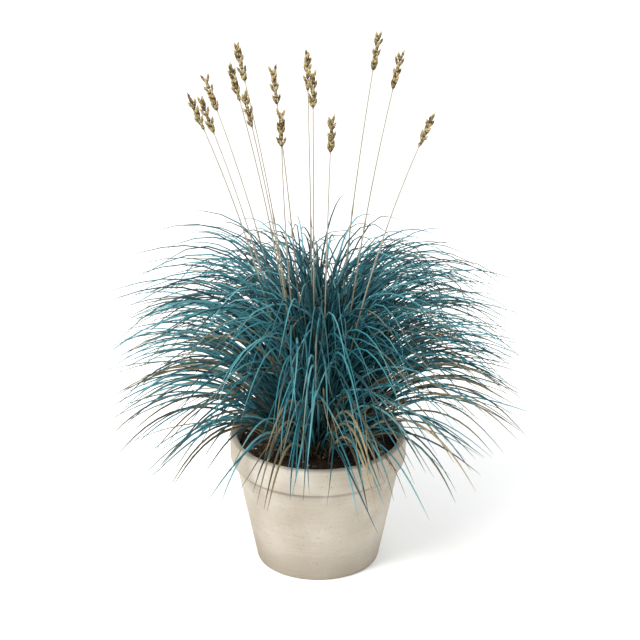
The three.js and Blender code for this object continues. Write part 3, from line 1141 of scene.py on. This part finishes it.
def head_axis(name, plan):
    """The thin straw that the spikelets stand on. Its radius is in mm."""
    foot, along = on_stalk(stalk_points(*plan), 1.0)
    length = HEAD_LENGTH - SPIKELET_LENGTH * 0.6
    places = [foot + along * length * i / AXIS_STEPS for i in range(AXIS_STEPS + 1)]
    radii = [between(AXIS_RADIUS, i / AXIS_STEPS) * MM for i in range(AXIS_STEPS + 1)]
    axis = placed("rachis_" + name, tube("rachis_" + name, places, radii, AXIS_SIDES, AXIS_STRAW))
    axis.data.materials.append(STRAW)
    hand_over(axis, "straw")


# %% The husk finish and the heads
def husk_finish(graph):
    colour = ramp(
        graph,
        read(graph, "along"),
        (0.0, (0.02, 0.012, 0.004)),
        (0.25, (0.058, 0.035, 0.007)),
        (0.5, (0.325, 0.245, 0.103)),
        (0.75, (0.44, 0.36, 0.195)),
        (1.0, (0.08, 0.052, 0.018)),
    )
    dark = (1.25 - read(graph, "tint") * 2.4).held()
    return {"Base Color": graph.mix(dark * 0.9, colour, (0.044, 0.026, 0.005))}


HUSK = new_material("husk", 0.62, husk_finish, specular=0.3)
for index, plan in enumerate(STALKS):
    name = f"flower_head_{index + 1:02d}"
    settings = {"Shape": husk_shape, "Material": HUSK}
    head = grow("husks_" + name, sow(name, head_rows(index, plan)), PLACING_TREE, settings)
    hand_over(head, "husk", name)
    head_axis(name, plan)
print("faces in a flower head:", len(head.data.polygons))

# %% [markdown]
# ## The pot
# A plain clay pot, turned on a wheel: a tapered wall, a thick rim band, and four drain holes in the
# floor. Turned clay has no sharp edge, so every corner of the solid's outline is rounded. A screw
# modifier could turn it too, but a loop also puts in faint finger rings and lets it be out of round.


# %% Turned shapes
def rounded(corners):
    """An outline with its corners rounded. Each corner is a radius, a height and a rounding in mm."""
    outline = []
    for i, (r, z, rounding) in enumerate(corners):
        here = Vector((r, z))
        if not rounding:
            outline.append(here)
            continue
        before = Vector(corners[i - 1][:2]) - here
        after = Vector(corners[i + 1][:2]) - here
        start = here + before.normalized() * rounding
        end = here + after.normalized() * rounding
        for t in (0.0, 0.25, 0.5, 0.75, 1.0):
            outline.append(start * (1 - t) ** 2 + here * 2 * t * (1 - t) + end * t**2)
    return outline


def turned(name, outline, sides, wobble=lambda radius, height, angle: (radius, height)):
    """Turns an outline in mm round the upright axis. It starts and ends on the axis."""
    vertices, faces = [(0, 0, outline[0][1] * MM)], []
    for radius, height in outline[1:-1]:
        for k in range(sides):
            angle = tau * k / sides
            r, z = wobble(radius, height, angle)
            vertices.append((r * MM * cos(angle), r * MM * sin(angle), z * MM))
    vertices.append((0, 0, wobble(0, outline[-1][1], 0)[1] * MM))
    rings = len(outline) - 2
    last = 1 + (rings - 1) * sides
    for k in range(sides):
        after = (k + 1) % sides
        faces.append((0, 1 + after, 1 + k))
        faces.append((len(vertices) - 1, last + k, last + after))
        for i in range(rings - 1):
            a, b = 1 + i * sides + k, 1 + i * sides + after
            faces.append((a, b, b + sides, a + sides))
    return placed(name, smooth_mesh(name, vertices, faces))


# %% The clay finish
def clay_finish(graph):
    height = place_parts(graph).other("Z")
    clouds = noise(graph, 14.0, 4.0)
    grain = noise(graph, 900.0, 2.0)
    rings = noise(graph, 260.0, 2.0, graph.vector(0.0, 0.0, height + clouds * 0.004))
    colour = ramp(
        graph,
        clouds * 0.8 + rings * 0.2,
        (0.3, (0.33, 0.285, 0.225)),
        (0.5, (0.43, 0.385, 0.32)),
        (0.72, (0.51, 0.47, 0.405)),
    )
    specks = (noise(graph, 620.0, 1.0) * 14.0 - 9.4).held()
    colour = graph.mix(specks * 0.55, colour, (0.12, 0.085, 0.06))
    damp = (1.0 - height * 34.0 + clouds * 1.4 - 0.4).held()
    colour = graph.mix(damp * 0.45, colour, (0.215, 0.18, 0.135))
    # Painted shadow: a dark line under the rim band, where the band shades the wall.
    band_shadow = (1.0 - (height - 0.1035).math("ABSOLUTE") * 260.0).held()
    colour = graph.mix(band_shadow * 0.55, colour, (0.15, 0.12, 0.09))
    bloom = ((noise(graph, 30.0, 5.0) * 5.0 - 2.7).held() * (height * 9.0).held()).held()
    colour = graph.mix(bloom * 0.4, colour, (0.64, 0.62, 0.58))
    bump = relief(graph, rings * 0.7 + grain * 0.3, 0.3, 0.0006)
    return {"Base Color": colour, "Normal": bump, "Roughness": 0.78 + clouds * 0.2}


# %% The clay pot
# Lengths in mm. A corner of the outline is a radius, a height and a rounding.
POT_SIDES = 120
POT_HEIGHT = 132
POT_FLOOR = 8
POT_OUTLINE = [
    (0, 0, 0),
    (60, 0, 2.2),
    (80.2, 101.5, 1.2),
    (79.9, 104.2, 1.0),
    (84.8, 105.6, 1.2),
    (86, 110, 1.6),
    (86, POT_HEIGHT, 2.6),
    (79, POT_HEIGHT, 2.4),
    (53, POT_FLOOR, 4),
    (0, POT_FLOOR, 0),
]
OUTER_WALL_FROM = 55
FINGER_RINGS = 0.10
OUT_OF_ROUND = 0.15
DRAIN_HOLES = 4
DRAIN_SIDES = 24
DRAIN_RADIUS = 5
DRAIN_CIRCLE_RADIUS = 34
DRAIN_OUTLINE = [(0, -4), (DRAIN_RADIUS, -4), (DRAIN_RADIUS, 12), (0, 12)]


def thrown(radius, height, angle):
    """A pot from the wheel is never quite round, and faint rings run round it."""
    ring = 0
    if radius > OUTER_WALL_FROM:
        ring = FINGER_RINGS * sin(height * 1.1 + 0.6 * sin(angle))
    return radius + ring - OUT_OF_ROUND + OUT_OF_ROUND * sin(2 * angle + height / 60), height


def drill(piece, angle):
    """Cuts one drain hole through the floor of the pot."""
    cutter = turned("drain", DRAIN_OUTLINE, DRAIN_SIDES)
    cutter.location = Vector((cos(angle), sin(angle), 0)) * DRAIN_CIRCLE_RADIUS * MM
    cut = piece.modifiers.new("drain", "BOOLEAN")
    cut.operation = "DIFFERENCE"
    cut.object = cutter
    bpy.context.view_layer.update()
    mesh = evaluated_mesh(piece)
    piece.modifiers.clear()
    piece.data = mesh
    bpy.data.objects.remove(cutter)


pot = turned("clay_pot", rounded(POT_OUTLINE), POT_SIDES, thrown)
for k in range(DRAIN_HOLES):
    drill(pot, (k + 0.5) * tau / DRAIN_HOLES)
pot.data.materials.clear()
pot.data.materials.append(new_material("clay", 0.85, clay_finish, specular=0.35))
hand_over(pot, "clay", "pot")
print("faces in the pot:", len(pot.data.polygons))

# %% [markdown]
# ## The soil
# Potting soil is dark compost with crumbs, chips of bark and a few white grains of perlite. The bed
# is one uneven turned shape that swells a little round the crown. A bump alone would look flat, so
# one small stone shape stands on many points as crumbs, in different sizes and turns.

# %% The soil bed
SOIL_SIDES = 72
SOIL_OUTLINE = [
    (0, 8.3), (52.5, 8.3), (77, 120.6), (70, 121.6), (62, 122.6), (54, 123.4),
    (46, 124.6), (40, 126.2), (30, 127), (15, 127), (0, 127),
]
SOIL_SURFACE_FROM = 100
SOIL_UNEVENNESS = 0.45


def crumbly(radius, height, angle):
    """Leaves the sides of the bed alone and makes its top uneven."""
    if height < SOIL_SURFACE_FROM:
        return radius, height
    x, y = radius * cos(angle), radius * sin(angle)
    waves = sin(x * 0.31 + 1) * cos(y * 0.27) + 0.6 * sin(x * 0.83 - y * 0.61)
    return radius, height + SOIL_UNEVENNESS * waves


def soil_finish(graph):
    tint = read(graph, "tint")
    crumbs = noise(graph, 420.0, 5.0)
    colour = ramp(
        graph,
        crumbs,
        (0.3, (0.01, 0.007, 0.005)),
        (0.55, (0.03, 0.019, 0.012)),
        (0.8, (0.075, 0.048, 0.03)),
    )
    bark = (tint * 8.0 - 5.2).held()
    colour = graph.mix(bark * 0.75, colour, (0.12, 0.066, 0.034))
    perlite = (tint * 40.0 - 37.6).held()
    colour = graph.mix(perlite * 0.9, colour, (0.56, 0.54, 0.49))
    return {"Base Color": colour, "Normal": relief(graph, crumbs, 0.7, 0.0012)}


SOIL = new_material("soil", 0.95, soil_finish, specular=0.2)
bed = turned("soil_bed", SOIL_OUTLINE, SOIL_SIDES, crumbly)
bed.data.materials.append(SOIL)
hand_over(bed, "soil", "soil")
print("faces in the soil bed:", len(bed.data.polygons))

# %% Crumbs, bark and perlite
# Radii, sizes and levels in mm. Tints between the two of BARK_TINTS are long chips of bark.
CRUMBS = 900
CRUMB_SHAPE_SEED = 77
CRUMB_SEED = 78
CRUMB_TURN = 2.399963
CRUMB_RING = (30, 75.5)
CRUMB_SIZE = (1.0, 4.2)
CRUMB_FLATNESS = 0.6
CRUMB_LEVEL = (126.4, 121.0)
BARK_TINTS = (0.65, 0.93)
BARK_STRETCH = (1.2, 2.4)


def crumb_mesh():
    """A small broken lump, about one unit across."""
    form = bmesh.new()
    bmesh.ops.create_icosphere(form, subdivisions=1, radius=0.5)
    draw = draws_from(CRUMB_SHAPE_SEED)
    for vertex in form.verts:
        vertex.co *= mix(0.72, 1.15, draw())
    mesh = bpy.data.meshes.new("crumb")
    form.to_mesh(mesh)
    form.free()
    return mesh


@bundle(CRUMBS, CRUMB_SEED)
def crumb_rows(_, i, draw):
    """Crumbs in a spiral that fills the ring between the crown and the wall evenly."""
    radius = between(CRUMB_RING, sqrt((i + 0.5) / CRUMBS))
    angle = i * CRUMB_TURN + stray(0.2, draw)
    size = between(CRUMB_SIZE, draw() ** 2.5)
    tint = draw()
    is_bark = BARK_TINTS[0] < tint < BARK_TINTS[1]
    long = within(BARK_STRETCH, draw) if is_bark else 1.0
    level = between(CRUMB_LEVEL, max(0.0, (radius - 36) / 40)) + size * 0.12
    spot = Vector((radius * cos(angle), radius * sin(angle), level)) * MM
    turn = Quaternion(UPRIGHT, tau * draw()) @ Quaternion((1, 0, 0), stray(0.5, draw))
    return stand_at(spot, turn, size * long * MM, size * MM, size * CRUMB_FLATNESS * MM, tint)


settings = {"Shape": bpy.data.objects.new("crumb_shape", crumb_mesh()), "Material": SOIL}
crumbs = grow("soil_crumbs", sow("crumbs", crumb_rows()), PLACING_TREE, settings)
hand_over(crumbs, "soil")
print("faces in the crumbs:", len(crumbs.data.polygons))
